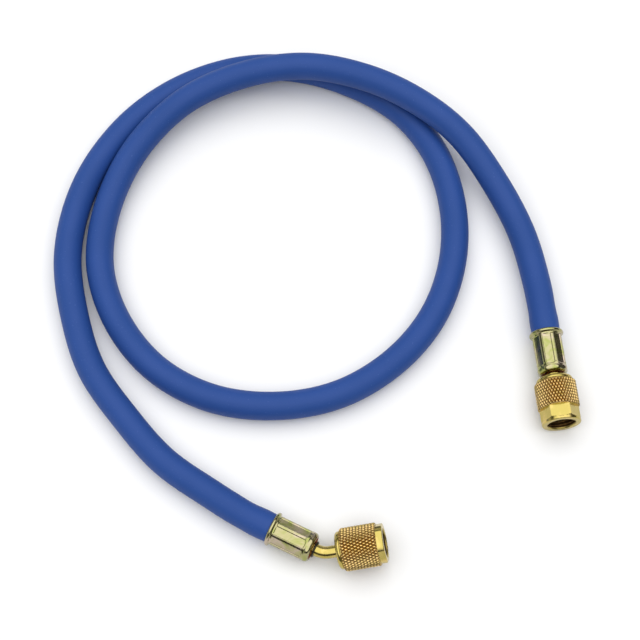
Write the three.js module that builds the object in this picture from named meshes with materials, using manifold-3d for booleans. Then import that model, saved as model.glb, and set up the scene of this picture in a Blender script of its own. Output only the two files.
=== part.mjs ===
// Refrigerant charging hose: a rubber hose laid in one loose loop, with a crimped steel ferrule,
// a brass stem and a knurled brass swivel nut at each end. One stem is bent and has a core depressor.
// Millimetres, +Z up, standing on z = 0, with the origin under the middle of the two end fittings.
import * as THREE from 'three';
import { mergeVertices } from 'three/addons/utils/BufferGeometryUtils.js';
import Module from 'manifold-3d';

const wasm = await Module();
wasm.setup();

// Driving dimensions
const gap = 0.3;                  // left between pieces that touch
const runningClearance = 0.4;     // round a stem where its nut turns on it
const overlap = 0.1;              // how far joined shapes and cuts reach into each other
const floorClearance = 0.1;       // kept under the hose where it lies on the floor

const hoseDiameter = 11;
const hoseSides = 12;
const crimpedHoseDiameter = 8.6;  // where the ferrule squeezes the hose
const hoseBoreEnd = 0.6;          // left between the full hose and the bore that takes the stem's tail

const ferruleLength = 17.2;
const ferruleFlats = 8;
const ferruleAcrossFlats = 10.8;
const ferruleRidgeDiameter = 11.4; // the narrow lands left between the crimped flats
const ferruleLipDiameter = 13.2;
const ferruleLipLength = 1.4;
const ferruleMouthDepth = 1.1;     // how far the full hose enters before it is squeezed
const ferruleBulgeDiameter = 11.9;
const ferruleBulgeLength = 2.7;
const ferruleEndWall = 1;
const flatsToLip = 0.6;            // round stretches left at the two ends of the crimped flats
const flatsToBulge = 0.8;

const tubeDiameter = 4.6;
const stemBoreDiameter = 2.6;
const barbCount = 4;
const barbDepth = 0.3;
const barbShare = 0.8;             // how much of each barb's pitch is its slope
const neckDiameter = 5.2;          // where the stem passes through the ferrule's end
const angledCollarDiameter = 6.2;
const angledCollarLength = 0.8;
const angledLead = 1.5;            // straight tube between the ferrule and the bend
const bendAngle = THREE.MathUtils.degToRad(35);
const bendRadius = 8;
const bendRoll = THREE.MathUtils.degToRad(19); // how far the bend is tipped up from level
const angledRunOut = 3;            // straight tube between the bend and the nut
const straightNeckLength = 0.5;
const straightCollarDiameter = 7.7;
const straightCollarLength = 0.9;

const nutShoulderDiameter = 14.1;
const nutShoulderLength = 2;
const nutShoulderRound = 1.25;
const knurlDiameter = 16;
const knurlEdge = 0.35;
const tailFlats = 6;
const rimEdge = 0.45;
const mouthDiameter = 10.8;
const threadDiameter = 10.3;
const countersinkDepth = 0.8;
const swivelRoomDiameter = 11.2;   // undercut behind the thread, round the stem's flange
const nutBackWall = 3.2;
const angledKnurlLength = 13.4;
const angledTailLength = 2.5;
const angledTailDiameter = 14.7;
const angledAcrossFlats = 13.9;
const angledRimLength = 0;         // its flats run out through the mouth's edge
const straightKnurlLength = 10.4;
const straightTailLength = 5.2;
const straightTailDiameter = 15;
const straightAcrossFlats = 13;
const straightRimLength = 1;

const flangeDiameter = 9.4;
const flangeThickness = 1.8;
const noseDiameter = 5.2;
const noseLength = 1.5;
const gasketDiameter = 9.6;
const gasketThickness = 1.8;

const depressorDiameter = 3.6;
const depressorThickness = 1.2;
const depressorFlats = 2.6;        // across the two crossed squares whose notches let the gas past
const depressorPinDiameter = 1.4;
const depressorReach = 3;          // how far the pin stands out of the gasket

const roundSides = 32;
const smallSides = 20;
const squareSides = 4;
const bendSteps = 14;
const hoseStep = 1.5 * hoseDiameter;

// The hose's route, from the angled end's ferrule to the straight end's. It runs round the outer left,
// under itself along the top, round the inner loop, over itself along the top and down the right.
const angledHeight = ferruleLipDiameter / 2;
const straightHeight = knurlDiameter / 2;
const floorHeight = hoseDiameter / 2 + floorClearance;
const route = [
  [-56.9, -30.55, angledHeight],
  [-66, -26, angledHeight],
  [-80, -17, 6.1],
  [-98, -4, 5.7],
  [-113, 13, floorHeight],
  [-127, 33, floorHeight],
  [-135, 56, floorHeight],
  [-139, 81, floorHeight],
  [-136, 105, floorHeight],
  [-128, 125, floorHeight],
  [-114, 144, floorHeight],
  [-94, 159, floorHeight],
  [-71, 167, floorHeight],
  [-48, 167, floorHeight],
  [-24, 159, floorHeight],
  [-5, 146, floorHeight],
  [8, 127, floorHeight],
  [14.3, 103, floorHeight],
  [13.5, 79, floorHeight],
  [5.4, 55.7, floorHeight],
  [-9.7, 36.7, floorHeight],
  [-31, 23, floorHeight],
  [-55, 18, floorHeight],
  [-80, 21, floorHeight],
  [-102, 33, floorHeight],
  [-118, 53, floorHeight],
  [-126, 77, floorHeight],
  [-124, 103, 6.3],
  [-113, 128, 9.3],
  [-94, 148, 12.4],
  [-70, 159, 14.6],
  [-45, 162, 16.2],
  [-20, 156, 17.1],
  [1, 145, 16.5],
  [17.4, 131.4, 14.2],
  [31.3, 111.2, 10.3],
  [41.2, 90, 7.6],
  [46.1, 68.4, 7.3],
  [47.3, 58.2, straightHeight],
  [48.5, 47.1, straightHeight],
];

// Materials
const blueRubber = new THREE.MeshStandardMaterial({ color: 0x3556a4, roughness: 0.5, metalness: 0 });
const platedSteel = new THREE.MeshStandardMaterial({ color: 0xb9b06a, roughness: 0.25, metalness: 1 });
const brass = new THREE.MeshStandardMaterial({ color: 0xc9a24a, roughness: 0.3, metalness: 1 });
const blackRubber = new THREE.MeshStandardMaterial({ color: 0x151515, roughness: 0.7, metalness: 0 });

// A closed geometry as a solid for joining and cutting, and a solid back as a geometry
function toSolid(geometry) {
  const bare = geometry.clone();
  bare.deleteAttribute('normal');
  bare.deleteAttribute('uv');
  const merged = mergeVertices(bare, 1e-4);
  const index = merged.index.array;
  const triangles = [];
  for (let i = 0; i < index.length; i += 3) {
    const [a, b, c] = index.slice(i, i + 3);
    if (a !== b && b !== c && c !== a) triangles.push(a, b, c);
  }
  const mesh = new wasm.Mesh({
    numProp: 3,
    vertProperties: new Float32Array(merged.attributes.position.array),
    triVerts: new Uint32Array(triangles),
  });
  mesh.merge();
  return new wasm.Manifold(mesh);
}

function toGeometry(solid) {
  const { vertProperties, triVerts } = solid.getMesh();
  const geometry = new THREE.BufferGeometry();
  geometry.setAttribute('position', new THREE.BufferAttribute(new Float32Array(vertProperties), 3));
  geometry.setIndex(new THREE.BufferAttribute(new Uint32Array(triVerts), 1));
  geometry.computeVertexNormals();
  return geometry;
}

// A turned piece along +X: points are [distance along the axis, radius], outside first, then the inside
function turned(points, sides = roundSides) {
  const closed = [...points, points[0]];
  const profile = closed.map(([along, radius]) => new THREE.Vector2(radius, along));
  return new THREE.LatheGeometry(profile, sides).rotateZ(-Math.PI / 2);
}

// A solid rod along +X
function rod(from, to, radius, sides = smallSides) {
  return turned([[from, 0], [from, radius], [to, radius], [to, 0]], sides);
}

// A round edge of a turned profile, round a centre, from one angle to another: 0 faces along +X, 90 outwards
function roundEdge(along, radius, size, from, to, steps = 4) {
  const points = [];
  for (let i = 0; i <= steps; i += 1) {
    const angle = THREE.MathUtils.degToRad(from + (to - from) * i / steps);
    points.push([along + size * Math.cos(angle), radius + size * Math.sin(angle)]);
  }
  return points;
}

// A prism along +X with flat sides, given across its flats
function prism(from, to, acrossFlats, flats) {
  const corner = acrossFlats / 2 / Math.cos(Math.PI / flats);
  const shape = rod(from, to, corner, flats);
  return shape.rotateX(Math.PI / flats);
}

// What is left of a round stretch when flats are pressed or milled into it
function withFlats(solid, from, to, acrossFlats, flats, reach) {
  const round = toSolid(rod(from, to, reach, roundSides));
  const kept = toSolid(prism(from - gap, to + gap, acrossFlats, flats));
  return solid.subtract(round.subtract(kept));
}

// A rod of round section along any curve
function swept(curve, radius, sides, steps) {
  const section = new THREE.Shape();
  for (let i = 0; i < sides; i += 1) {
    const angle = (i + 0.5) / sides * 2 * Math.PI;
    const point = [radius * Math.cos(angle), radius * Math.sin(angle)];
    if (i === 0) section.moveTo(...point);
    else section.lineTo(...point);
  }
  section.closePath();
  return new THREE.ExtrudeGeometry(section, { steps, bevelEnabled: false, extrudePath: curve });
}

// The bent stem's centreline: straight, an arc to the left, and straight again
class BentLine extends THREE.Curve {
  constructor(start, lead, runOut) {
    super();
    this.start = start;
    this.lead = lead;
    this.arc = bendRadius * bendAngle;
    this.total = lead + this.arc + runOut;
  }

  getPoint(t, target = new THREE.Vector3()) {
    const distance = t * this.total;
    const turn = THREE.MathUtils.clamp((distance - this.lead) / bendRadius, 0, bendAngle);
    const straight = Math.min(distance, this.lead);
    const after = Math.max(distance - this.lead - this.arc, 0);
    return target.set(
      this.start + straight + bendRadius * Math.sin(turn) + after * Math.cos(turn),
      bendRadius * (1 - Math.cos(turn)) + after * Math.sin(turn),
      0,
    );
  }
}

// Ferrule: a steel sleeve with a flared lip at the hose, eight crimped flats and a bulge that turns in
function ferruleGeometry() {
  const mouth = hoseDiameter / 2 + gap;
  const crimp = crimpedHoseDiameter / 2 + gap;
  const hole = neckDiameter / 2 + gap;
  const land = ferruleRidgeDiameter / 2;
  const lip = ferruleLipDiameter / 2;
  const lipRound = ferruleLipLength / 2;
  const bulgeRound = ferruleBulgeLength / 2;
  const bulgeMiddle = ferruleBulgeDiameter / 2 - bulgeRound;
  // The bulge rises out of the lands, or starts at its crest where they stand higher
  const bulgeRise = Math.asin(Math.min((land - bulgeMiddle) / bulgeRound, 1));
  const bulgeStart = ferruleLength - bulgeRound * (1 + Math.cos(bulgeRise));
  const sleeve = toSolid(turned([
    [0, mouth],
    ...roundEdge(lipRound, lip - lipRound, lipRound, 180, 0),
    [ferruleLipLength, land],
    [bulgeStart, land],
    ...roundEdge(
      ferruleLength - bulgeRound, bulgeMiddle, bulgeRound, 180 - THREE.MathUtils.radToDeg(bulgeRise), 0, 6,
    ),
    [ferruleLength, hole],
    [ferruleLength - ferruleEndWall, hole],
    [ferruleLength - ferruleEndWall, crimp],
    [ferruleMouthDepth + gap, crimp],
    [ferruleMouthDepth, mouth],
  ]));
  const flatsStart = ferruleLipLength + flatsToLip;
  const flatsEnd = bulgeStart - flatsToBulge;
  return toGeometry(withFlats(sleeve, flatsStart, flatsEnd, ferruleAcrossFlats, ferruleFlats, lip));
}

// The end of the hose inside a ferrule, along the ferrule's axis: squeezed, with the stem's tail in its bore
function crimpedHoseEnd() {
  const outer = crimpedHoseDiameter / 2;
  const bore = tubeDiameter / 2 + gap;
  const end = ferruleLength - ferruleEndWall - gap;
  const face = ferruleMouthDepth - gap;
  return turned([
    [face - overlap, 0],
    [face - overlap, outer],
    [end, outer],
    [end, bore],
    [face + hoseBoreEnd, bore],
    [face + hoseBoreEnd, 0],
  ], smallSides);
}

// The barbed tail that holds the stem in the hose, up to the neck in the ferrule's end
function tailProfile() {
  const crest = tubeDiameter / 2;
  const start = ferruleMouthDepth + hoseBoreEnd;
  const end = ferruleLength - ferruleEndWall;
  const pitch = (end - start) / barbCount;
  const points = [[start, 0]];
  for (let i = 0; i < barbCount; i += 1) {
    points.push([start + i * pitch, crest - barbDepth]);
    points.push([start + (i + barbShare) * pitch, crest]);
  }
  points.push([end, crest - barbDepth]);
  return points;
}

// The flange that the nut pulls on, with the nose that carries the gasket, from the nut's back face
function flangeSolid(counterbore) {
  const from = nutBackWall + gap;
  const to = from + flangeThickness;
  const flange = toSolid(turned([
    [from - overlap, 0],
    [from - overlap, tubeDiameter / 2],
    [from, tubeDiameter / 2],
    [from, flangeDiameter / 2],
    [to, flangeDiameter / 2],
    [to, noseDiameter / 2],
    [to + noseLength, noseDiameter / 2],
    [to + noseLength, 0],
  ], smallSides));
  if (!counterbore) return flange;
  const seat = toSolid(rod(depressorSeat(), to + noseLength + overlap, depressorDiameter / 2 + gap));
  return flange.subtract(seat);
}

function gasketFace() {
  return nutBackWall + gap + flangeThickness + gap + gasketThickness;
}

function depressorSeat() {
  return nutBackWall + gap + flangeThickness + noseLength - gap - depressorThickness;
}

// Angled stem: barbed tail, thin collar, tube bent to the left, flange and counterbored nose
function angledStemGeometry(nutFrame) {
  const exit = ferruleLength + gap;
  const collar = exit + angledCollarLength;
  const lead = ferruleLength + angledLead - exit;
  const tail = toSolid(turned([
    ...tailProfile(),
    [ferruleLength - ferruleEndWall, neckDiameter / 2],
    [exit, neckDiameter / 2],
    [exit, angledCollarDiameter / 2],
    [collar, angledCollarDiameter / 2],
    [collar, 0],
  ], smallSides));
  const line = new BentLine(exit, lead, angledRunOut + nutBackWall + gap);
  const tube = toSolid(swept(line, tubeDiameter / 2, smallSides, bendSteps));
  const bentBore = toSolid(swept(line, stemBoreDiameter / 2, smallSides, bendSteps));
  const tailBore = toSolid(rod(0, exit + overlap, stemBoreDiameter / 2));
  const noseBore = rod(nutBackWall + gap - overlap, depressorSeat() + overlap, stemBoreDiameter / 2);
  const flange = toGeometry(flangeSolid(true)).applyMatrix4(nutFrame.matrix);
  const metal = tail.add(tube).add(toSolid(flange));
  const bored = metal.subtract(tailBore).subtract(bentBore);
  return toGeometry(bored.subtract(toSolid(noseBore.applyMatrix4(nutFrame.matrix))));
}

// Straight stem: barbed tail, neck, wide collar behind the nut, tube, flange and nose
function straightStemGeometry(nutStart) {
  const neckEnd = ferruleLength + straightNeckLength;
  const tail = toSolid(turned([
    ...tailProfile(),
    [ferruleLength - ferruleEndWall, neckDiameter / 2],
    [neckEnd, neckDiameter / 2],
    [neckEnd, straightCollarDiameter / 2],
    [neckEnd + straightCollarLength, straightCollarDiameter / 2],
    [neckEnd + straightCollarLength, tubeDiameter / 2],
    [nutStart + nutBackWall + gap, tubeDiameter / 2],
    [nutStart + nutBackWall + gap, 0],
  ], smallSides));
  const flange = toSolid(toGeometry(flangeSolid(false)).translate(nutStart, 0, 0));
  const bore = toSolid(rod(0, nutStart + gasketFace(), stemBoreDiameter / 2));
  return toGeometry(tail.add(flange).subtract(bore));
}

// Coupling nut: rounded shoulder, knurled grip, hexagonal tail, with or without a round rim, open at the mouth
function nutGeometry(knurlLength, tailLength, tailDiameter, acrossFlats, rimLength) {
  const knurlEnd = nutShoulderLength + knurlLength;
  const tailEnd = knurlEnd + tailLength;
  const end = tailEnd + rimLength;
  const flatsEnd = rimLength > 0 ? tailEnd : end + overlap;
  const shoulder = nutShoulderDiameter / 2;
  const grip = knurlDiameter / 2;
  const tail = tailDiameter / 2;
  const hole = tubeDiameter / 2 + runningClearance;
  const room = swivelRoomDiameter / 2;
  const thread = threadDiameter / 2;
  const roomEnd = gasketFace() + gap;
  const blank = toSolid(turned([
    [0, hole],
    ...roundEdge(nutShoulderRound, shoulder - nutShoulderRound, nutShoulderRound, 180, 90),
    [nutShoulderLength, shoulder],
    [nutShoulderLength, grip - knurlEdge],
    [nutShoulderLength + knurlEdge, grip],
    [knurlEnd - knurlEdge, grip],
    [knurlEnd, grip - knurlEdge],
    [knurlEnd, tail],
    [end - rimEdge, tail],
    [end, tail - rimEdge],
    [end, mouthDiameter / 2],
    [end - countersinkDepth, thread],
    [roomEnd, thread],
    [roomEnd, room],
    [nutBackWall, room],
    [nutBackWall, hole],
  ]));
  return toGeometry(withFlats(blank, knurlEnd, flatsEnd, acrossFlats, tailFlats, tail + gap));
}

function gasketGeometry() {
  const face = gasketFace();
  return turned([
    [face - gasketThickness, noseDiameter / 2 + gap],
    [face - gasketThickness, gasketDiameter / 2],
    [face, gasketDiameter / 2],
    [face, noseDiameter / 2 + gap],
  ], smallSides);
}

// Core depressor: a notched disc in the nose's counterbore, and the pin that pushes the valve core
function depressorGeometry() {
  const seat = depressorSeat() + gap;
  const front = seat + depressorThickness;
  const tip = gasketFace() + depressorReach;
  const disc = toSolid(rod(seat, front, depressorDiameter / 2));
  const square = prism(seat - gap, front + gap, depressorFlats, squareSides);
  const notched = toSolid(square).add(toSolid(square.clone().rotateX(Math.PI / squareSides)));
  const pin = toSolid(turned([
    [seat, 0],
    [seat, depressorPinDiameter / 2],
    [tip - gap, depressorPinDiameter / 2],
    [tip, depressorPinDiameter / 4],
    [tip, 0],
  ], smallSides));
  return toGeometry(disc.intersect(notched).add(pin));
}

function part(name, geometry, material) {
  const mesh = new THREE.Mesh(geometry, material);
  mesh.name = name;
  return mesh;
}

// The frame of a ferrule: at one end of the route, its +X leading straight on out of the hose
function ferruleFrame(end, next) {
  const frame = new THREE.Group();
  frame.position.set(...end);
  frame.rotation.z = Math.atan2(end[1] - next[1], end[0] - next[0]);
  frame.updateMatrix();
  return frame;
}

// Hose
function hoseGeometry(frames) {
  const curve = new THREE.CatmullRomCurve3(route.map((point) => new THREE.Vector3(...point)));
  curve.arcLengthDivisions = 2000;
  const depth = ferruleMouthDepth - gap;
  const steps = Math.round(curve.getLength() / hoseStep);
  let hose = toSolid(swept(curve, hoseDiameter / 2, hoseSides, steps));
  for (const frame of frames) {
    const entry = rod(-gap, depth, hoseDiameter / 2, hoseSides).applyMatrix4(frame.matrix);
    const squeezed = crimpedHoseEnd().applyMatrix4(frame.matrix);
    hose = hose.add(toSolid(entry)).add(toSolid(squeezed));
  }
  return toGeometry(hose);
}

const angledEnd = ferruleFrame(route[0], route[1]);
const straightEnd = ferruleFrame(route[route.length - 1], route[route.length - 2]);

const angledNut = nutGeometry(
  angledKnurlLength, angledTailLength, angledTailDiameter, angledAcrossFlats, angledRimLength,
);
const straightNut = nutGeometry(
  straightKnurlLength, straightTailLength, straightTailDiameter, straightAcrossFlats, straightRimLength,
);

const angledNutFrame = new THREE.Group();
const bentLine = new BentLine(ferruleLength, angledLead, angledRunOut);
angledNutFrame.position.copy(bentLine.getPoint(1));
angledNutFrame.rotation.z = bendAngle;
angledNutFrame.updateMatrix();

const bendFrame = new THREE.Group();
bendFrame.rotation.x = bendRoll;
bendFrame.add(part('angled_stem', angledStemGeometry(angledNutFrame), brass), angledNutFrame);
angledNutFrame.add(
  part('angled_nut', angledNut, brass),
  part('angled_gasket', gasketGeometry(), blackRubber),
  part('core_depressor', depressorGeometry(), brass),
);
angledEnd.add(part('angled_ferrule', ferruleGeometry(), platedSteel), bendFrame);

const straightNutFrame = new THREE.Group();
straightNutFrame.position.x = ferruleLength + straightNeckLength + straightCollarLength + runningClearance;
straightNutFrame.add(
  part('straight_nut', straightNut, brass),
  part('straight_gasket', gasketGeometry(), blackRubber),
);
straightEnd.add(
  part('straight_ferrule', ferruleGeometry(), platedSteel),
  part('straight_stem', straightStemGeometry(straightNutFrame.position.x), brass),
  straightNutFrame,
);

const chargingHose = new THREE.Group();
chargingHose.add(part('hose', hoseGeometry([angledEnd, straightEnd]), blueRubber), angledEnd, straightEnd);

export default chargingHose;
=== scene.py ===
"""Dresses the refrigerant charging hose: rubber hose, crimped ferrules, stems and knurled swivel nuts."""
import math

import bmesh
import bpy
import numpy as np
from bpy.props import FloatProperty, FloatVectorProperty, IntProperty, PointerProperty
from mathutils import Matrix, Vector


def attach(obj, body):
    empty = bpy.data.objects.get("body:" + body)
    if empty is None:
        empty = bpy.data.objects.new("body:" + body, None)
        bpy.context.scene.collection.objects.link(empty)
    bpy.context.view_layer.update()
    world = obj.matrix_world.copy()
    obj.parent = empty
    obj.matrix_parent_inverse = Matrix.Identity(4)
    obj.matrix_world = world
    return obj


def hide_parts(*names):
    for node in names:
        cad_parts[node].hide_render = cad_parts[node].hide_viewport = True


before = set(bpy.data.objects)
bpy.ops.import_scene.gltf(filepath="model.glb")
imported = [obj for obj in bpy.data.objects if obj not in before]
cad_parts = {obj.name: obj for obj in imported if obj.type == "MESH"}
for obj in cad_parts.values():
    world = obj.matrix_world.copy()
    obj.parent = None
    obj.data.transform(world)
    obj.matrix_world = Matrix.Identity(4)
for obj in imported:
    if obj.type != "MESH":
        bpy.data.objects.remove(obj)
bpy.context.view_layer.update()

bl_info = {
    "name": "Charging Hose",
    "version": (1, 0, 0),
    "blender": (4, 5, 0),
    "location": "3D View > Sidebar > Charging Hose",
    "description": "Builds the pieces, finishes and stage of a refrigerant charging hose",
    "category": "Object",
}

# Bodies that the pieces ride on
ASSEMBLY = "hose_assembly"
ANGLED_SWIVEL = "angled_swivel"
STRAIGHT_SWIVEL = "straight_swivel"

# The hose's route in metres, from the angled end's ferrule to the straight end's
ROUTE = [
    (-0.0569, -0.03055, 0.0066),
    (-0.066, -0.026, 0.0066),
    (-0.080, -0.017, 0.0061),
    (-0.098, -0.004, 0.0057),
    (-0.113, 0.013, 0.0056),
    (-0.127, 0.033, 0.0056),
    (-0.135, 0.056, 0.0056),
    (-0.139, 0.081, 0.0056),
    (-0.136, 0.105, 0.0056),
    (-0.128, 0.125, 0.0056),
    (-0.114, 0.144, 0.0056),
    (-0.094, 0.159, 0.0056),
    (-0.071, 0.167, 0.0056),
    (-0.048, 0.167, 0.0056),
    (-0.024, 0.159, 0.0056),
    (-0.005, 0.146, 0.0056),
    (0.008, 0.127, 0.0056),
    (0.0143, 0.103, 0.0056),
    (0.0135, 0.079, 0.0056),
    (0.0054, 0.0557, 0.0056),
    (-0.0097, 0.0367, 0.0056),
    (-0.031, 0.023, 0.0056),
    (-0.055, 0.018, 0.0056),
    (-0.080, 0.021, 0.0056),
    (-0.102, 0.033, 0.0056),
    (-0.118, 0.053, 0.0056),
    (-0.126, 0.077, 0.0056),
    (-0.124, 0.103, 0.0063),
    (-0.113, 0.128, 0.0093),
    (-0.094, 0.148, 0.0124),
    (-0.070, 0.159, 0.0146),
    (-0.045, 0.162, 0.0162),
    (-0.020, 0.156, 0.0171),
    (0.001, 0.145, 0.0165),
    (0.0174, 0.1314, 0.0142),
    (0.0313, 0.1112, 0.0103),
    (0.0412, 0.090, 0.0076),
    (0.0461, 0.0684, 0.0073),
    (0.0473, 0.0582, 0.0080),
    (0.0485, 0.0471, 0.0080),
]


def length(label, default, description):
    """A length that a user can change, in metres."""
    return FloatProperty(
        name=label, description=description, default=default, min=0.0, precision=5, unit="LENGTH"
    )


def angle(label, degrees, description):
    """An angle that a user can change. Its default is given in degrees."""
    return FloatProperty(
        name=label, description=description, default=math.radians(degrees), subtype="ANGLE"
    )


def strength(label, default, description):
    """A light's strength that a user can change."""
    return FloatProperty(name=label, description=description, default=default, min=0.0)


def colour(label, default, description):
    """A colour that a user can change."""
    return FloatVectorProperty(
        name=label, description=description, default=default, min=0.0, max=1.0, size=3, subtype="COLOR"
    )


class HoseSizes(bpy.types.PropertyGroup):
    diameter: length("Diameter", 0.011, "Outside diameter of the hose")
    squeezed_diameter: length("Squeezed diameter", 0.0086, "Diameter of the hose inside a ferrule")
    entry: length("Entry", 0.0008, "How far the full hose enters a ferrule")
    inside: length("Inside", 0.0159, "How far the hose reaches into a ferrule")
    swelling: length("Swelling", 0.00016, "How far the hose swells just before a ferrule")
    ring_step: length("Ring step", 0.0018, "Distance between the hose's rings of vertices")
    sides: IntProperty(name="Sides", description="Vertices round the hose", default=48, min=12)


class FerruleSizes(bpy.types.PropertyGroup):
    length: length("Length", 0.0172, "Length of a ferrule")
    flats: IntProperty(name="Flats", description="Flats that the crimping dies press", default=8, min=3)
    angled_turned: angle("Angled turn", 14, "Turn of the flats at the angled end")
    straight_turned: angle("Straight turn", 11, "Turn of the flats at the straight end")
    across_flats: length("Across flats", 0.0108, "Distance across two opposite flats")
    land_diameter: length("Land diameter", 0.0114, "Diameter left between the flats")
    ridge_height: length("Ridge height", 0.00018, "How far a ridge stands over the lands")
    lip_diameter: length("Lip diameter", 0.0132, "Diameter of the flared lip")
    lip_length: length("Lip length", 0.0014, "Length of the flared lip")
    mouth_diameter: length("Mouth diameter", 0.0116, "Diameter of the mouth that takes the hose")
    mouth_depth: length("Mouth depth", 0.0011, "How far the full hose's room goes in")
    bulge_diameter: length("Bulge diameter", 0.0119, "Diameter of the bulge at the stem's end")
    bulge_length: length("Bulge length", 0.0027, "Length of the bulge")
    dish_depth: length("Dish depth", 0.0006, "How far the turned-in end is dished")
    hole_diameter: length("Hole diameter", 0.0058, "Diameter of the hole round the stem's neck")
    end_wall: length("End wall", 0.001, "Thickness of the end wall")
    wall_bore: length("Bore", 0.0092, "Diameter inside the crimped wall")


class StemSizes(bpy.types.PropertyGroup):
    tube_diameter: length("Tube diameter", 0.0046, "Outside diameter of the tube")
    bore: length("Bore", 0.0026, "Diameter of the bore")
    neck_diameter: length("Neck diameter", 0.0052, "Diameter in the ferrule's end wall")
    angled_collar_diameter: length("Angled collar", 0.0064, "Diameter of the thin dark collar")
    angled_collar_length: length("Angled collar length", 0.0008, "Length of the thin dark collar")
    lead: length("Lead", 0.0015, "Straight tube before the bend")
    bend_angle: angle("Bend", 35, "Angle of the bend")
    bend_radius: length("Bend radius", 0.008, "Radius of the bend's centreline")
    bend_roll: angle("Bend roll", 19, "How far the bend is tipped up")
    run_out: length("Run-out", 0.003, "Straight tube between the bend and the nut")
    straight_neck: length("Straight neck", 0.0005, "Neck between the ferrule and the wide collar")
    straight_collar_diameter: length("Wide collar", 0.0077, "Diameter of the collar behind the nut")
    straight_collar_length: length("Wide collar length", 0.0009, "Length of that collar")
    play: length("Play", 0.0004, "Clearance between the collar and the nut")
    flange_diameter: length("Flange diameter", 0.0094, "Diameter of the flange that the nut pulls on")
    flange_thickness: length("Flange thickness", 0.0018, "Thickness of the flange")
    nose_length: length("Nose length", 0.0015, "Length of the nose that carries the gasket")
    gasket_diameter: length("Gasket diameter", 0.0096, "Outside diameter of the gasket")
    gasket_thickness: length("Gasket thickness", 0.0018, "Thickness of the gasket")
    pin_diameter: length("Pin diameter", 0.0014, "Diameter of the core depressor's pin")
    pin_reach: length("Pin reach", 0.003, "How far the pin stands out of the gasket")


class NutSizes(bpy.types.PropertyGroup):
    shoulder_diameter: length("Shoulder diameter", 0.0141, "Diameter of the rounded shoulder")
    shoulder_length: length("Shoulder length", 0.002, "Length of the shoulder")
    shoulder_round: length("Shoulder round", 0.00125, "Radius of the shoulder's edge")
    knurl_diameter: length("Knurl diameter", 0.016, "Diameter over the knurl")
    knurl_depth: length("Knurl depth", 0.00042, "Depth of the knurl's grooves")
    knurl_count: IntProperty(name="Diamonds", description="Diamonds round the knurl", default=42, min=6)
    diamond_length: length("Diamond length", 0.0023, "Length of a diamond along the nut")
    diamond_top: FloatProperty(
        name="Diamond top",
        description="Share of a diamond's width left at its top",
        default=0.3,
        min=0,
        max=1,
    )
    knurl_edge: length("Knurl edge", 0.00035, "Bevel at the knurl's ends")
    rim_round: length("Rim round", 0.00045, "Radius of the rim's edge")
    mouth_diameter: length("Mouth diameter", 0.0108, "Diameter of the mouth")
    thread_root: length("Thread root", 0.0109, "Diameter at the root of the thread")
    thread_pitch: length("Thread pitch", 0.00127, "Distance between the thread's turns")
    thread_ridge: length("Thread ridge", 0.00036, "Radius of the thread's ridge")
    back_wall: length("Back wall", 0.0032, "Thickness of the wall behind the flange")
    hole_diameter: length("Hole diameter", 0.0054, "Diameter of the hole round the tube")
    room_diameter: length("Room diameter", 0.0112, "Diameter of the room round the flange")


class AngledNutSizes(bpy.types.PropertyGroup):
    knurl_length: length("Knurl length", 0.0134, "Length of the knurl")
    tail_length: length("Hexagon length", 0.0025, "Length of the hexagon")
    tail_diameter: length("Tail diameter", 0.0147, "Diameter over the hexagon's corners")
    across_flats: length("Across flats", 0.0139, "Distance across the hexagon")
    rim_length: length("Rim length", 0.0, "Length of the round rim: none, the flats run out at the mouth")
    turned: angle("Turned", -20, "Turn of the hexagon round the nut")


class StraightNutSizes(bpy.types.PropertyGroup):
    knurl_length: length("Knurl length", 0.0104, "Length of the knurl")
    tail_length: length("Hexagon length", 0.0052, "Length of the hexagon")
    tail_diameter: length("Tail diameter", 0.015, "Diameter of the rim and over the hexagon's corners")
    across_flats: length("Across flats", 0.013, "Distance across the hexagon")
    rim_length: length("Rim length", 0.001, "Length of the round rim")
    turned: angle("Turned", 6.5, "Turn of the hexagon round the nut")


class FinishColours(bpy.types.PropertyGroup):
    rubber: colour("Rubber", (0.020, 0.070, 0.29), "Blue of the hose")
    rubber_shade: colour("Rubber shade", (0.014, 0.058, 0.235), "Darker blue in the hose's uneven patches")
    plating: colour("Plating", (0.38, 0.35, 0.18), "Yellow of the plated steel")
    plating_rose: colour("Plating rose", (0.50, 0.40, 0.33), "Rose where the plating is thin")
    plating_green: colour("Plating green", (0.30, 0.32, 0.10), "Green where the plating is thick")
    # Painted shade: red-brown darkening of the ferrule's dished end
    plating_recess_painted_shade: colour("Plating recess", (0.36, 0.10, 0.04), "Red-brown of the dished end")
    brass: colour("Brass", (0.46, 0.37, 0.10), "Bright brass")
    # Warm brass: random stains on turned brass, and the painted highlight on the knurl's diamond tops
    brass_warm_stain_and_painted_highlight: colour("Warm brass", (0.84, 0.60, 0.24), "Warm brass of the knurl")
    # Painted shade: dark brass at the bottom of the knurl's grooves, also in patches on the threads
    brass_groove_painted_shade: colour("Brass groove", (0.22, 0.12, 0.035), "Brass at the bottom of the knurl's grooves")
    # Painted shade: near-black brass inside the nuts and on their threads
    brass_painted_inside_shade: colour("Stained brass", (0.10, 0.055, 0.02), "Dark stained brass inside the nuts")
    dark_metal: colour("Dark metal", (0.03, 0.027, 0.02), "The thin collar at the bent stem's foot")
    gasket: colour("Gasket", (0.012, 0.012, 0.013), "Black rubber of the gaskets")


class StageSettings(bpy.types.PropertyGroup):
    floor: colour("Floor", (0.93, 0.93, 0.93), "Colour of the floor")
    dome_top: strength("Dome", 1.9, "Strength of the dome's bright top")
    dome_band: strength("Band", 0.7, "Strength of the dome's low band")
    dome_dark: strength("Dark", 0.03, "Strength of the dome's dark bands")
    focal_length: FloatProperty(
        name="Focal length", description="Focal length of the lens", default=94.78, unit="CAMERA"
    )
    elevation: angle("Elevation", 67, "Camera's angle above the floor")
    distance: length("Distance", 0.6634, "Distance from the camera to its target")


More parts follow.
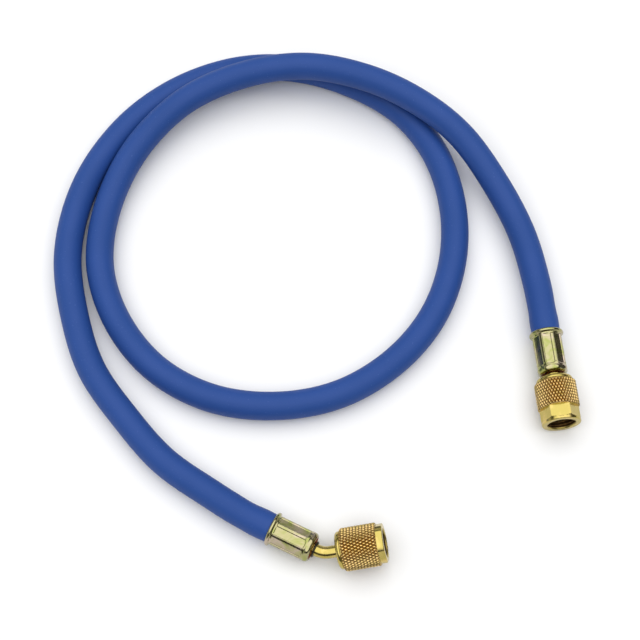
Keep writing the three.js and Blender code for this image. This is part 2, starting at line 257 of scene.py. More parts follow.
class ChargingHoseSettings(bpy.types.PropertyGroup):
    hose: PointerProperty(type=HoseSizes)
    ferrule: PointerProperty(type=FerruleSizes)
    stem: PointerProperty(type=StemSizes)
    nut: PointerProperty(type=NutSizes)
    angled_nut: PointerProperty(type=AngledNutSizes)
    straight_nut: PointerProperty(type=StraightNutSizes)
    finish: PointerProperty(type=FinishColours)
    stage: PointerProperty(type=StageSettings)


def settings():
    return bpy.context.scene.charging_hose


# Node expressions
class Link:
    """One output of a material's nodes. A sum with numbers or other outputs adds its own Math node."""

    def __init__(self, finish, socket):
        self.finish = finish
        self.socket = socket

    def math(self, operation, first, second, clamp=False):
        return self.finish.node(
            "ShaderNodeMath", {"operation": operation, "use_clamp": clamp}, {0: first, 1: second}
        )

    def __add__(self, other):
        return self.math("ADD", self, other)

    def __radd__(self, other):
        return self.math("ADD", other, self)

    def __sub__(self, other):
        return self.math("SUBTRACT", self, other)

    def __rsub__(self, other):
        return self.math("SUBTRACT", other, self)

    def __mul__(self, other):
        return self.math("MULTIPLY", self, other)

    def __rmul__(self, other):
        return self.math("MULTIPLY", other, self)

    def clamped(self):
        return self.math("ADD", self, 0.0, clamp=True)


class Shading:
    """A shader node tree in the making."""

    def __init__(self, tree):
        self.tree = tree
        self.tree.nodes.clear()

    def put(self, socket, value):
        if isinstance(value, Link):
            self.tree.links.new(value.socket, socket)
        elif socket.type == "RGBA" and len(value) == 3:
            socket.default_value = (*value, 1.0)
        else:
            socket.default_value = value

    def node(self, kind, options=None, sockets=None, output=0):
        """A node of that type, with its options set first and then its sockets. Returns one output."""
        made = self.tree.nodes.new(kind)
        for name, value in (options or {}).items():
            setattr(made, name, value)
        for key, value in (sockets or {}).items():
            self.put(made.inputs[key], value)
        return None if output is None else Link(self, made.outputs[output])

    def stepped(self, value, low, high):
        """0 under low, 1 over high, and smooth between them."""
        return self.node(
            "ShaderNodeMapRange",
            {"interpolation_type": "SMOOTHSTEP"},
            {"Value": value, "From Min": low, "From Max": high},
        )


class Finish(Shading):
    """A material in the making: its node tree and its one Principled shader."""

    def __init__(self, name, **constants):
        self.material = bpy.data.materials.new(name)
        self.material.use_nodes = True
        super().__init__(self.material.node_tree)
        output = self.tree.nodes.new("ShaderNodeOutputMaterial")
        self.shader = self.tree.nodes.new("ShaderNodeBsdfPrincipled")
        self.tree.links.new(self.shader.outputs["BSDF"], output.inputs["Surface"])
        for socket, value in constants.items():
            self.shader.inputs[socket.replace("_", " ")].default_value = value

    def noise(self, place, scale, detail=2.0, roughness=0.5, distortion=0.0):
        return self.node(
            "ShaderNodeTexNoise",
            {"noise_dimensions": "3D"},
            {
                "Vector": place,
                "Scale": scale,
                "Detail": detail,
                "Roughness": roughness,
                "Distortion": distortion,
            },
        )

    def object_place(self):
        return self.node("ShaderNodeTexCoord", output="Object")

    def uv_place(self):
        return self.node("ShaderNodeTexCoord", output="UV")

    def stretched(self, place, scale):
        return self.node("ShaderNodeMapping", {"vector_type": "POINT"}, {"Vector": place, "Scale": scale})

    def attribute(self, name):
        return self.node("ShaderNodeAttribute", {"attribute_name": name}, output="Fac")

    def mixed(self, share, first, second):
        """The first colour at share 0, the second at 1."""
        return self.node("ShaderNodeMix", {"data_type": "RGBA"}, {0: share, 6: first, 7: second}, output=2)

    def bump(self, height, distance, strength=1.0):
        return self.node(
            "ShaderNodeBump", None, {"Height": height, "Distance": distance, "Strength": strength}
        )

    def surface(self, **sockets):
        for name, value in sockets.items():
            self.put(self.shader.inputs[name.replace("_", " ")], value)
        return self.material


def blue_rubber():
    """Satin blue rubber: uneven patches, faint lengthwise streaks, small pits and specks."""
    colours = settings().finish
    rubber = Finish("satin_blue_rubber", Metallic=0.0, IOR=1.5, Specular_IOR_Level=0.25)
    place = rubber.uv_place()
    solid = rubber.object_place()
    streaks = rubber.noise(rubber.stretched(place, (9.0, 0.22, 1.0)), 1.0, 3.0, 0.55)
    patches = rubber.noise(solid, 55.0, 2.0)
    specks = rubber.noise(solid, 1400.0, 2.0, 0.6)
    pits = rubber.noise(solid, 620.0, 3.0, 0.6)
    shade = (patches * 0.75 + streaks * 0.55 - 0.38).clamped()
    base = rubber.mixed(shade, tuple(colours.rubber), tuple(colours.rubber_shade))
    worn = rubber.stepped(specks, 0.66, 0.76) * 0.35
    base = rubber.mixed(worn, base, (0.10, 0.18, 0.50))
    height = streaks * 0.5 + pits * 0.5 + specks * 0.15
    return rubber.surface(
        Base_Color=base,
        Roughness=0.48 + patches * 0.10 + streaks * 0.06,
        Normal=rubber.bump(height, 0.00012, 0.35),
    )


def plated_steel():
    """Yellow-plated steel with rose and green tints, drawn lines, and red-brown painted shade in the dished
    end.
    """
    colours = settings().finish
    steel = Finish("yellow_plated_steel", Metallic=1.0)
    place = steel.object_place()
    tint = steel.noise(place, 210.0, 2.0, 0.5, 0.6)
    fine = steel.noise(place, 900.0, 3.0, 0.6)
    green = steel.stepped(tint, 0.50, 0.66)
    rose = steel.stepped(1.0 - tint, 0.50, 0.64)
    base = steel.mixed(green, tuple(colours.plating), tuple(colours.plating_green))
    base = steel.mixed(rose * 0.75, base, tuple(colours.plating_rose))
    # Painted shade: the dished end turns red-brown and rougher
    recess = steel.attribute("recess")
    base = steel.mixed(recess, base, tuple(colours.plating_recess_painted_shade))
    return steel.surface(
        Base_Color=base,
        Roughness=0.13 + fine * 0.12 + recess * 0.2,
        Normal=steel.bump(fine, 0.00003, 0.5),
    )


def bright_brass():
    """Smooth turned brass with faint stains and fine lines, and painted shade, near-black, inside a nut."""
    colours = settings().finish
    brass = Finish("bright_brass", Metallic=1.0)
    place = brass.object_place()
    stains = brass.noise(place, 260.0, 3.0, 0.55)
    fine = brass.noise(place, 2200.0, 2.0)
    stained = brass.stepped(stains, 0.45, 0.75) * 0.5
    base = brass.mixed(stained, tuple(colours.brass), tuple(colours.brass_warm_stain_and_painted_highlight))
    # Painted shade: the nut's inside is darkened to near-black
    inside = brass.attribute("inside")
    base = brass.mixed(inside, base, tuple(colours.brass_painted_inside_shade))
    return brass.surface(
        Base_Color=base,
        Roughness=0.14 + stains * 0.10 + fine * 0.05 + inside * 0.25,
        Normal=brass.bump(fine, 0.00002, 0.4),
    )


def knurled_brass():
    """Knurled brass: painted shade in the grooves, warm-dark and dull, and a painted highlight on the tops of
    the diamonds.
    """
    colours = settings().finish
    brass = Finish("knurled_brass", Metallic=1.0)
    place = brass.object_place()
    stains = brass.noise(place, 320.0, 2.0)
    rise = brass.attribute("rise")
    # Painted shade in the grooves and a painted highlight on the diamonds' tops, by their rise
    top = brass.stepped(rise, 0.1, 0.95)
    base = brass.mixed(top, tuple(colours.brass_groove_painted_shade), tuple(colours.brass_warm_stain_and_painted_highlight))
    base = brass.mixed(brass.stepped(stains, 0.4, 0.7) * top * 0.6, base, tuple(colours.brass))
    return brass.surface(Base_Color=base, Roughness=0.36 - top * 0.14 + stains * 0.08)


def stained_brass():
    """The dull dark brass of the threads: painted shade inside the nut."""
    colours = settings().finish
    brass = Finish("stained_brass", Metallic=1.0)
    stains = brass.noise(brass.object_place(), 700.0, 3.0)
    patches = brass.stepped(stains, 0.4, 0.7)
    # Painted shade over the whole thread, in random patches
    base = brass.mixed(patches, tuple(colours.brass_painted_inside_shade), tuple(colours.brass_groove_painted_shade))
    return brass.surface(Base_Color=base, Roughness=0.35 + stains * 0.15)


def dark_metal():
    """The dark collar at the bent stem's foot."""
    colours = settings().finish
    metal = Finish("dark_collar", Metallic=0.8)
    grain = metal.noise(metal.object_place(), 1500.0, 2.0)
    base = metal.mixed(grain, tuple(colours.dark_metal), (0.06, 0.05, 0.035))
    return metal.surface(Base_Color=base, Roughness=0.3 + grain * 0.2)


def black_rubber():
    """Moulded black rubber with a fine grain."""
    colours = settings().finish
    rubber = Finish("black_rubber", Metallic=0.0)
    grain = rubber.noise(rubber.object_place(), 2400.0, 3.0)
    base = rubber.mixed(grain, tuple(colours.gasket), (0.03, 0.03, 0.032))
    return rubber.surface(
        Base_Color=base, Roughness=0.5 + grain * 0.25, Normal=rubber.bump(grain, 0.00004, 0.5)
    )


def pale_floor():
    colours = settings().stage
    floor = Finish("pale_floor", Metallic=0.0, Roughness=0.9)
    grain = floor.noise(floor.object_place(), 40.0, 2.0)
    shade = tuple(0.97 * part for part in colours.floor)
    return floor.surface(Base_Color=floor.mixed(grain, tuple(colours.floor), shade))


def material(name):
    """The material of that name, made the first time it is asked for."""
    makers = {
        "satin_blue_rubber": blue_rubber,
        "yellow_plated_steel": plated_steel,
        "bright_brass": bright_brass,
        "knurled_brass": knurled_brass,
        "stained_brass": stained_brass,
        "dark_collar": dark_metal,
        "black_rubber": black_rubber,
        "pale_floor": pale_floor,
    }
    return bpy.data.materials.get(name) or makers[name]()


# Frames, in metres, with +X leading out of the hose
def placed(origin, yaw):
    return Matrix.Translation(Vector(origin)) @ Matrix.Rotation(yaw, 4, "Z")


def ferrule_frame(end, following):
    out = Vector(end) - Vector(following)
    return placed(end, math.atan2(out.y, out.x))


def angled_ferrule_frame():
    return ferrule_frame(ROUTE[0], ROUTE[1])


def straight_ferrule_frame():
    return ferrule_frame(ROUTE[-1], ROUTE[-2])


def bend_place(distance):
    """Where the bent stem's centreline is, that far from the ferrule's end, and how far it has turned."""
    stem = settings().stem
    arc = stem.bend_radius * stem.bend_angle
    turn = min(max((distance - stem.lead) / stem.bend_radius, 0.0), stem.bend_angle)
    straight = min(distance, stem.lead)
    after = max(distance - stem.lead - arc, 0.0)
    across = stem.bend_radius * (1.0 - math.cos(turn)) + after * math.sin(turn)
    along = straight + stem.bend_radius * math.sin(turn) + after * math.cos(turn)
    return settings().ferrule.length + along, across, turn


def angled_nut_frame():
    stem = settings().stem
    along, across, turn = bend_place(stem.lead + stem.bend_radius * stem.bend_angle + stem.run_out)
    rolled = angled_ferrule_frame() @ Matrix.Rotation(stem.bend_roll, 4, "X")
    return rolled @ placed((along, across, 0.0), turn)


def straight_nut_frame():
    stem = settings().stem
    start = settings().ferrule.length + stem.straight_neck + stem.straight_collar_length + stem.play
    return straight_ferrule_frame() @ Matrix.Translation((start, 0.0, 0.0))


# Meshes from rings of points
def smooth(value):
    value = np.clip(value, 0.0, 1.0)
    return value * value * (3.0 - 2.0 * value)


def arc(along, radius, size, first, last, steps):
    """Points of a round edge of a profile, round a centre: 0 degrees faces along +X and 90 outwards."""
    angles = np.radians(np.linspace(first, last, steps + 1))
    return [(along + size * math.cos(a), radius + size * math.sin(a)) for a in angles]


def round_points(profile, angles):
    """Rings round +X for a profile of (distance along, radius), where a radius may be one for each angle."""
    rings = []
    for along, radius in profile:
        alongs = np.full(angles.shape, along)
        rings.append(np.stack([alongs, -radius * np.sin(angles), radius * np.cos(angles)], axis=1))
    return np.array(rings)


def even_angles(sides):
    return np.arange(sides) / sides * 2.0 * math.pi


def moved(points, matrix):
    matrix = np.array(matrix)
    return points @ matrix[:3, :3].T + matrix[:3, 3]


def ring_mesh(name, rings, closed=True, values=None, uv=None):
    """A mesh over rings of points. Closed joins the last ring to the first, else both ends are capped."""
    rows, sides = rings.shape[:2]
    row = np.arange(rows if closed else rows - 1)
    column = np.arange(sides)
    below, beside = np.meshgrid(row, column, indexing="ij")
    above = (below + 1) % rows
    next_one = (beside + 1) % sides
    low, high = below * sides, above * sides
    quads = np.stack([low + beside, low + next_one, high + next_one, high + beside], axis=-1).reshape(-1, 4)
    flat = rings.reshape(-1, 3)
    corners = flat[quads]
    normal = np.cross(corners[:, 2] - corners[:, 0], corners[:, 3] - corners[:, 1])
    volume = float((normal * (corners.mean(axis=1) - flat.mean(axis=0))).sum())
    if volume < 0.0:
        quads = quads[:, ::-1]
    faces = quads.tolist()
    if not closed:
        first = list(range(sides))
        last = list(range((rows - 1) * sides, rows * sides))
        faces += [first[::-1], last] if volume > 0.0 else [first, last[::-1]]
    mesh = bpy.data.meshes.new(name)
    mesh.from_pydata(flat.tolist(), [], faces)
    for label, numbers in (values or {}).items():
        attribute = mesh.attributes.new(label, "FLOAT", "POINT")
        attribute.data.foreach_set("value", np.asarray(numbers, np.float32).ravel())
    if uv is not None:
        layer = mesh.uv_layers.new(name="hose_uv")
        loop = 0
        places = np.zeros((len(mesh.loops), 2), np.float32)
        for quad in faces:
            seam = len(quad) == 4 and max(v % sides for v in quad) - min(v % sides for v in quad) > 1
            for vertex in quad:
                around, along = vertex % sides, vertex // sides
                turn = 1.0 if seam and around == 0 else around / sides
                places[loop] = (turn, uv[along])
                loop += 1
        layer.data.foreach_set("uv", places.ravel())
    return mesh


def finish_mesh(mesh, sharp_angle=35.0):
    """Merges doubles, drops what has no area and sets smooth shading with sharp edges."""
    work = bmesh.new()
    work.from_mesh(mesh)
    bmesh.ops.remove_doubles(work, verts=work.verts, dist=1e-7)
    bmesh.ops.dissolve_degenerate(work, edges=work.edges, dist=1e-8)
    work.to_mesh(mesh)
    work.free()
    mesh.polygons.foreach_set("use_smooth", [True] * len(mesh.polygons))
    mesh.set_sharp_from_angle(angle=math.radians(sharp_angle))
    mesh.update()
    return mesh


def add_piece(name, mesh, finish, body, replaced=()):
    """A piece at the origin with its place in its mesh, its finish, and the body that it rides on."""
    piece = bpy.data.objects.new(name, mesh)
    bpy.context.scene.collection.objects.link(piece)
    if not mesh.materials:
        mesh.materials.append(material(finish))
    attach(piece, body)
    if replaced:
        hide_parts(*replaced)
    return piece


# The hose
def route_line():
    """The route's smooth line as many points: a centripetal Catmull-Rom curve, as in the part's source."""
    points = [np.array(p) for p in ROUTE]
    points = [2 * points[0] - points[1], *points, 2 * points[-1] - points[-2]]
    line = []
    for before, start, end, after in zip(points, points[1:], points[2:], points[3:]):
        first = math.sqrt(np.linalg.norm(start - before))
        middle = math.sqrt(np.linalg.norm(end - start))
        last = math.sqrt(np.linalg.norm(after - end))
        leave = (start - before) / first - (end - before) / (first + middle) + (end - start) / middle
        reach = (end - start) / middle - (after - start) / (middle + last) + (after - end) / last
        leave, reach = leave * middle, reach * middle
        for t in np.linspace(0.0, 1.0, 40, endpoint=False):
            line.append(
                start
                + leave * t
                + (-3 * start + 3 * end - 2 * leave - reach) * t * t
                + (2 * start - 2 * end + leave + reach) * t ** 3
            )
    line.append(points[-2])
    return np.array(line)


def hose_centreline():
    """Ring centres with even steps, and the straight stretch inside each ferrule."""
    sizes = settings().hose
    line = route_line()
    distance = np.concatenate([[0.0], np.cumsum(np.linalg.norm(np.diff(line, axis=0), axis=1))])
    total = distance[-1]
    steps = int(round(total / sizes.ring_step))
    even = np.linspace(0.0, total, steps + 1)
    route = np.stack([np.interp(even, distance, line[:, i]) for i in range(3)], axis=1)
    depths = np.array([0.0004, 0.0008, 0.0014, 0.0019, 0.0024, 0.006, 0.010, sizes.inside])
    start = moved(np.array([[d, 0.0, 0.0] for d in depths[::-1]]), angled_ferrule_frame())
    end = moved(np.array([[d, 0.0, 0.0] for d in depths]), straight_ferrule_frame())
    places = np.concatenate([-depths[::-1], even, total + depths])
    return np.concatenate([start, route, end]), places, total


def hose_mesh():
    sizes = settings().hose
    centres, places, total = hose_centreline()
    ahead = np.gradient(centres, axis=0)
    ahead /= np.linalg.norm(ahead, axis=1)[:, None]
    side = np.cross(np.array([0.0, 0.0, 1.0]), ahead)
    side /= np.linalg.norm(side, axis=1)[:, None]
    up = np.cross(ahead, side)
    full, squeezed = sizes.diameter / 2, sizes.squeezed_diameter / 2
    inside = np.maximum(-places, places - total)
    before = np.maximum(-inside, 0.0)
    radius = full + (squeezed - full) * smooth((inside - sizes.entry) / 0.0006)
    swell = np.exp(-(((before - 0.0045) / 0.0028) ** 2)) - 0.6 * np.exp(-(((before - 0.011) / 0.004) ** 2))
    wander = np.sin(places * 61.0) * 0.5 + np.sin(places * 143.0 + 1.3) * 0.3
    radius += np.where(inside < 0.0, swell * sizes.swelling + wander * 0.00004, 0.0)
    angles = even_angles(sizes.sides)
    rings = centres[:, None, :] + radius[:, None, None] * (
        side[:, None, :] * np.sin(angles)[None, :, None] - up[:, None, :] * np.cos(angles)[None, :, None]
    )
    along = places / (math.pi * sizes.diameter)
    return ring_mesh("blue_hose", rings, closed=False, uv=along), centres


class CHARGINGHOSE_OT_hose(bpy.types.Operator):
    """Builds the rubber hose along its route"""

    bl_idname = "charging_hose.hose"
    bl_label = "Build Hose"

    def execute(self, context):
        mesh, centres = hose_mesh()
        finish_mesh(mesh, 60.0)
        piece = add_piece("blue_hose", mesh, "satin_blue_rubber", ASSEMBLY, ["hose"])
        run = float(np.linalg.norm(np.diff(centres, axis=0), axis=1).sum())
        return {"FINISHED"}


# The ferrules
def ferrule_angles(flats):
    """Angles with more of them at the edges of the flats, where the ridges stand."""
    half = math.pi / flats
    shares = [0.0, 0.2, 0.4, 0.6, 0.7, 0.735, 0.765, 0.79, 0.81, 0.83, 0.86, 0.92]
    side = [s * half for s in shares]
    one = [-s for s in side[:0:-1]] + side + [half]
    return np.array([f * 2.0 * half + a for f in range(flats) for a in one])


def ferrule_rings(turned):
    """A sleeve with a flared lip, crimped flats between narrow ridges, and a bulge before a dished end."""
    s = settings().ferrule
    angles = ferrule_angles(s.flats)
    half = math.pi / s.flats
    within = np.abs((angles + half) % (2.0 * half) - half) / half
    flat = s.across_flats / 2 / np.cos(within * half)
    ridge = s.land_diameter / 2 + s.ridge_height
    pressed = flat + (ridge - flat) * smooth((within - 0.66) / 0.16)
    pressed -= 0.00012 * np.exp(-(((within - 0.66) / 0.05) ** 2))
    land = s.land_diameter / 2
    lip_round = s.lip_length / 2
    bulge_round = s.bulge_length / 2
    bulge_middle = s.bulge_diameter / 2 - bulge_round
    rise = math.asin((land - bulge_middle) / bulge_round)
    bulge_start = s.length - bulge_round * (1.0 + math.cos(rise))
    flats_start = s.lip_length + 0.0006
    flats_end = bulge_start - 0.0004
    curved_end = flats_end - 0.0007 * within ** 2
    mouth, hole, bore = s.mouth_diameter / 2, s.hole_diameter / 2, s.wall_bore / 2

    profile = [(0.0, mouth)]
    profile += arc(lip_round, s.lip_diameter / 2 - lip_round, lip_round, 180, 15, 14)
    profile += [(s.lip_length + 0.00006, land + 0.00012), (s.lip_length + 0.0002, land + 0.00002)]
    places = np.concatenate([
        np.arange(s.lip_length + 0.0003, flats_start + 0.0007, 0.00008),
        np.linspace(flats_start + 0.0008, flats_end - 0.0016, 12),
        np.arange(flats_end - 0.0015, bulge_start, 0.00008),
    ])
    for along in places:
        share = smooth((along - flats_start) / 0.0004) * smooth((curved_end - along) / 0.0003)
        profile.append((along, land + (pressed - land) * share))
    lobes = 0.5 + 0.5 * np.cos(angles * s.flats)
    bulge = arc(s.length - bulge_round, bulge_middle, bulge_round, 180 - math.degrees(rise), -10, 18)
    for along, radius in bulge:
        weight = smooth((along - bulge_start) / 0.0009)
        profile.append((along, radius - 0.00032 * lobes * weight))
    outer_rows = len(profile)
    dish = s.dish_depth
    profile += [
        (s.length - 0.00018 - dish * 0.35, bulge_middle - 0.0007),
        (s.length - 0.0002 - dish * 0.8, hole + 0.0007),
        (s.length - 0.0002 - dish, hole + 0.0001),
        (s.length - 0.0002 - dish - 0.0001, hole),
    ]
    dished_rows = len(profile)
    profile += [
        (s.length - s.end_wall, hole),
        (s.length - s.end_wall, bore),
        (s.mouth_depth + 0.0003, bore),
        (s.mouth_depth, mouth),
    ]
    rings = round_points(profile, angles + turned)
    # Painted shade: the recess weights darken the plating into the dished end
    recess = np.zeros(rings.shape[:2])
    recess[outer_rows - 3:outer_rows] = np.array([0.1, 0.45, 0.8])[:, None]
    recess[outer_rows:dished_rows] = 1.0
    return rings, recess


def add_ferrule(name, frame_matrix, turned, node):
    rings, recess = ferrule_rings(turned)
    mesh = finish_mesh(ring_mesh(name, moved(rings, frame_matrix), values={"recess": recess}), 50.0)
    add_piece(name, mesh, "yellow_plated_steel", ASSEMBLY, [node])


class CHARGINGHOSE_OT_ferrules(bpy.types.Operator):
    """Builds the two crimped ferrules"""

    bl_idname = "charging_hose.ferrules"
    bl_label = "Build Ferrules"

    def execute(self, context):
        sizes = settings().ferrule
        for name, frame_matrix, turned, node in (
            ("crimped_ferrule_angled", angled_ferrule_frame(), sizes.angled_turned, "angled_ferrule"),
            ("crimped_ferrule_straight", straight_ferrule_frame(), sizes.straight_turned, "straight_ferrule"),
        ):
            add_ferrule(name, frame_matrix, turned, node)
        return {"FINISHED"}


# The stems
def tail_profile():
    """The barbed tail inside the hose, from its tip up to the ferrule's end wall."""
    stem, ferrule = settings().stem, settings().ferrule
    start, end = ferrule.mouth_depth + 0.0006, ferrule.length - ferrule.end_wall
    pitch = (end - start) / 4
    crest = stem.tube_diameter / 2
    profile = [(start, stem.bore / 2), (start, crest - 0.0003)]
    for barb in range(4):
        profile.append((start + (barb + 0.8) * pitch, crest))
        profile.append((start + (barb + 0.85) * pitch, crest - 0.0003))
    profile.append((end, crest - 0.0003))
    profile.append((end, stem.neck_diameter / 2))
    return profile


def flange_profile(start):
    """The flange and the nose that carries the gasket, with small edges, from the nut's back face."""
    stem, nut = settings().stem, settings().nut
    near = start + nut.back_wall + 0.0003
    far = near + stem.flange_thickness
    tip = far + stem.nose_length
    tube, flange, nose = stem.tube_diameter / 2, stem.flange_diameter / 2, stem.neck_diameter / 2
    return [
        (near - 0.0001, tube),
        (near, tube + 0.0001),
        (near, flange - 0.0002),
        (near + 0.0002, flange),
        (far - 0.0002, flange),
        (far, flange - 0.0002),
        (far, nose + 0.0001),
        (far + 0.0001, nose),
        (tip - 0.0002, nose),
        (tip, nose - 0.0002),
    ]


def bent_rings(profile, angles):
    """Rings along the bent stem's centreline, for a profile by distance from the ferrule's mouth."""
    rings = []
    start = settings().ferrule.length
    for distance, radius in profile:
        if distance < start:
            along, across, turn = distance, 0.0, 0.0
        else:
            along, across, turn = bend_place(distance - start)
        aside = -radius * np.sin(angles)
        x, y = along - aside * math.sin(turn), across + aside * math.cos(turn)
        rings.append(np.stack([x, y, radius * np.cos(angles)], axis=1))
    return np.array(rings)


class CHARGINGHOSE_OT_stems(bpy.types.Operator):
    """Builds the bent and the straight stem, with the collar at the bent stem's foot"""

    bl_idname = "charging_hose.stems"
    bl_label = "Build Stems"

    def execute(self, context):
        self.bent_stem()
        self.bent_stem_collar()
        self.straight_stem()
        return {"FINISHED"}

    def bent_stem(self):
        stem, ferrule = settings().stem, settings().ferrule
        tube, bore = stem.tube_diameter / 2, stem.bore / 2
        arc_length = stem.bend_radius * stem.bend_angle
        nut_back = ferrule.length + stem.lead + arc_length + stem.run_out
        profile = tail_profile()
        profile += [(ferrule.length + 0.0003, stem.neck_diameter / 2), (ferrule.length + 0.0004, tube)]
        bend_start = ferrule.length + stem.lead
        profile += [(d, tube) for d in np.linspace(bend_start, bend_start + arc_length, 18)]
        profile += [(nut_back - 0.0005, tube)]
        flange = flange_profile(nut_back)
        seat = flange[-1][0] - 0.0015
        profile += flange
        profile += [(flange[-1][0], 0.0021), (seat, 0.0021), (seat, bore)]
        profile += [(d, bore) for d in np.linspace(bend_start + arc_length, bend_start, 18)]
        rolled = angled_ferrule_frame() @ Matrix.Rotation(stem.bend_roll, 4, "X")
        rings = moved(bent_rings(profile, even_angles(40)), rolled)
        mesh = finish_mesh(ring_mesh("bent_stem", rings), 40.0)
        add_piece("bent_stem", mesh, "bright_brass", ASSEMBLY, ["angled_stem"])

    def bent_stem_collar(self):
        stem, ferrule = settings().stem, settings().ferrule
        near = ferrule.length + 0.0003
        far = near + stem.angled_collar_length
        middle, size = stem.angled_collar_diameter / 2 - 0.0004, 0.0004
        inner = stem.tube_diameter / 2 + 0.00002
        profile = [(near, inner), *arc(near + size, middle, size, 180, 0, 12), (far, inner)]
        rings = moved(round_points(profile, even_angles(48)), angled_ferrule_frame())
        mesh = finish_mesh(ring_mesh("bent_stem_collar", rings), 50.0)
        add_piece("bent_stem_collar", mesh, "dark_collar", ASSEMBLY)

    def straight_stem(self):
        stem, ferrule = settings().stem, settings().ferrule
        neck_end = ferrule.length + stem.straight_neck
        collar_end = neck_end + stem.straight_collar_length
        collar, edge = stem.straight_collar_diameter / 2, 0.0003
        profile = tail_profile()
        profile += [(neck_end, stem.neck_diameter / 2)]
        profile += arc(neck_end + edge, collar - edge, edge, 180, 90, 4)
        profile += arc(collar_end - edge, collar - edge, edge, 90, 0, 4)
        profile += [(collar_end, stem.tube_diameter / 2)]
        flange = flange_profile(collar_end + stem.play)
        profile += flange
        profile += [(flange[-1][0], stem.bore / 2 + 0.0002), (flange[-1][0] - 0.0002, stem.bore / 2)]
        rings = moved(round_points(profile, even_angles(48)), straight_ferrule_frame())
        mesh = finish_mesh(ring_mesh("straight_stem_turned", rings), 40.0)
        add_piece("straight_stem_turned", mesh, "bright_brass", ASSEMBLY, ["straight_stem"])


# Geometry node trees
class NodeTree:
    """A geometry node tree in the making, with named inputs."""

    def __init__(self, name):
        self.tree = bpy.data.node_groups.new(name, "GeometryNodeTree")
        self.tree.interface.new_socket("Geometry", in_out="OUTPUT", socket_type="NodeSocketGeometry")
        self.entry = None

    def inputs(self, **sockets):
        """Named inputs and their socket types. Returns their outputs on the Group Input node."""
        self.identifiers = {}
        for name, kind in sockets.items():
            made = self.tree.interface.new_socket(name.replace("_", " "), in_out="INPUT", socket_type=kind)
            self.identifiers[name] = made.identifier
        self.entry = self.tree.nodes.new("NodeGroupInput")
        return {name: self.entry.outputs[name.replace("_", " ")] for name in sockets}

    def node(self, kind, options=None, sockets=None, output=0):
        made = self.tree.nodes.new(kind)
        for name, value in (options or {}).items():
            setattr(made, name, value)
        for key, value in (sockets or {}).items():
            if isinstance(value, bpy.types.NodeSocket):
                self.tree.links.new(value, made.inputs[key])
            else:
                made.inputs[key].default_value = value
        return made.outputs[output]

    def sum(self, operation, first, second=0.0):
        return self.node("ShaderNodeMath", {"operation": operation}, {0: first, 1: second})

    def finish(self, geometry, finish):
        real = self.node("GeometryNodeRealizeInstances", None, {"Geometry": geometry})
        painted = self.node("GeometryNodeSetMaterial", None, {"Geometry": real, "Material": finish})
        out = self.tree.nodes.new("NodeGroupOutput")
        self.tree.links.new(painted, out.inputs["Geometry"])


def knurl_tree():
    """Diamonds in staggered rows round the X axis, each a small pyramid with a bevelled, cut-off top."""
    maker = NodeTree("Knurl")
    given = maker.inputs(
        Count="NodeSocketInt",
        Rows="NodeSocketInt",
        Start="NodeSocketFloat",
        Row_Step="NodeSocketFloat",
        Radius="NodeSocketFloat",
        Depth="NodeSocketFloat",
        Half_Width="NodeSocketFloat",
        Top="NodeSocketFloat",
        Finish="NodeSocketMaterial",
    )
    points = maker.node(
        "GeometryNodePoints", None, {"Count": maker.sum("MULTIPLY", given["Count"], given["Rows"])}
    )
    index = maker.node("GeometryNodeInputIndex")
    place = maker.sum("MODULO", index, given["Count"])
    row = maker.sum("FLOOR", maker.sum("DIVIDE", maker.sum("ADD", index, 0.5), given["Count"]))
    stagger = maker.sum("MULTIPLY", maker.sum("MODULO", row, 2.0), 0.5)
    turn = maker.sum("DIVIDE", maker.sum("ADD", place, stagger), given["Count"])
    angle = maker.sum("MULTIPLY", turn, 2.0 * math.pi)
    along = maker.sum("ADD", given["Start"], maker.sum("MULTIPLY", row, given["Row_Step"]))
    across = maker.sum("MULTIPLY", maker.sum("SINE", angle), maker.sum("MULTIPLY", given["Radius"], -1.0))
    up = maker.sum("MULTIPLY", maker.sum("COSINE", angle), given["Radius"])
    position = maker.node("ShaderNodeCombineXYZ", None, {0: along, 1: across, 2: up})
    points = maker.node("GeometryNodeSetPosition", None, {"Geometry": points, "Position": position})

    foot = maker.sum("MULTIPLY", given["Depth"], 0.85)
    cap = maker.sum("MULTIPLY", given["Depth"], 0.15)
    waist = maker.sum("ADD", maker.sum("MULTIPLY", given["Top"], 0.9), 0.12)
    flank = maker.node(
        "GeometryNodeMeshCone",
        {"fill_type": "NGON"},
        {"Vertices": 4, "Radius Top": waist, "Radius Bottom": 1.0, "Depth": foot},
    )
    top = maker.node(
        "GeometryNodeMeshCone",
        {"fill_type": "NGON"},
        {"Vertices": 4, "Radius Top": given["Top"], "Radius Bottom": waist, "Depth": cap},
    )
    lift = maker.node("ShaderNodeCombineXYZ", None, {0: 0.0, 1: 0.0, 2: foot})
    top = maker.node("GeometryNodeTransform", None, {"Geometry": top, "Translation": lift})
    joined = maker.tree.nodes.new("GeometryNodeJoinGeometry")
    maker.tree.links.new(flank, joined.inputs[0])
    maker.tree.links.new(top, joined.inputs[0])
    scale = maker.node("ShaderNodeCombineXYZ", None, {0: given["Row_Step"], 1: given["Half_Width"], 2: 1.0})
    diamond = maker.node("GeometryNodeTransform", None, {"Geometry": joined.outputs[0], "Scale": scale})
    where = maker.node("GeometryNodeInputPosition")
    split = maker.tree.nodes.new("ShaderNodeSeparateXYZ")
    maker.tree.links.new(where, split.inputs[0])
    # rise: height within a diamond, which the knurl's material turns into painted shade and highlight
    rise = maker.sum("DIVIDE", split.outputs[2], given["Depth"])
    diamond = maker.node(
        "GeometryNodeStoreNamedAttribute",
        {"data_type": "FLOAT", "domain": "POINT"},
        {"Geometry": diamond, "Name": "rise", "Value": rise},
    )
    turned = maker.node("ShaderNodeCombineXYZ", None, {0: angle, 1: 0.0, 2: 0.0})
    placed_diamonds = maker.node(
        "GeometryNodeInstanceOnPoints", None, {"Points": points, "Instance": diamond, "Rotation": turned}
    )
    maker.finish(placed_diamonds, given["Finish"])
    return maker


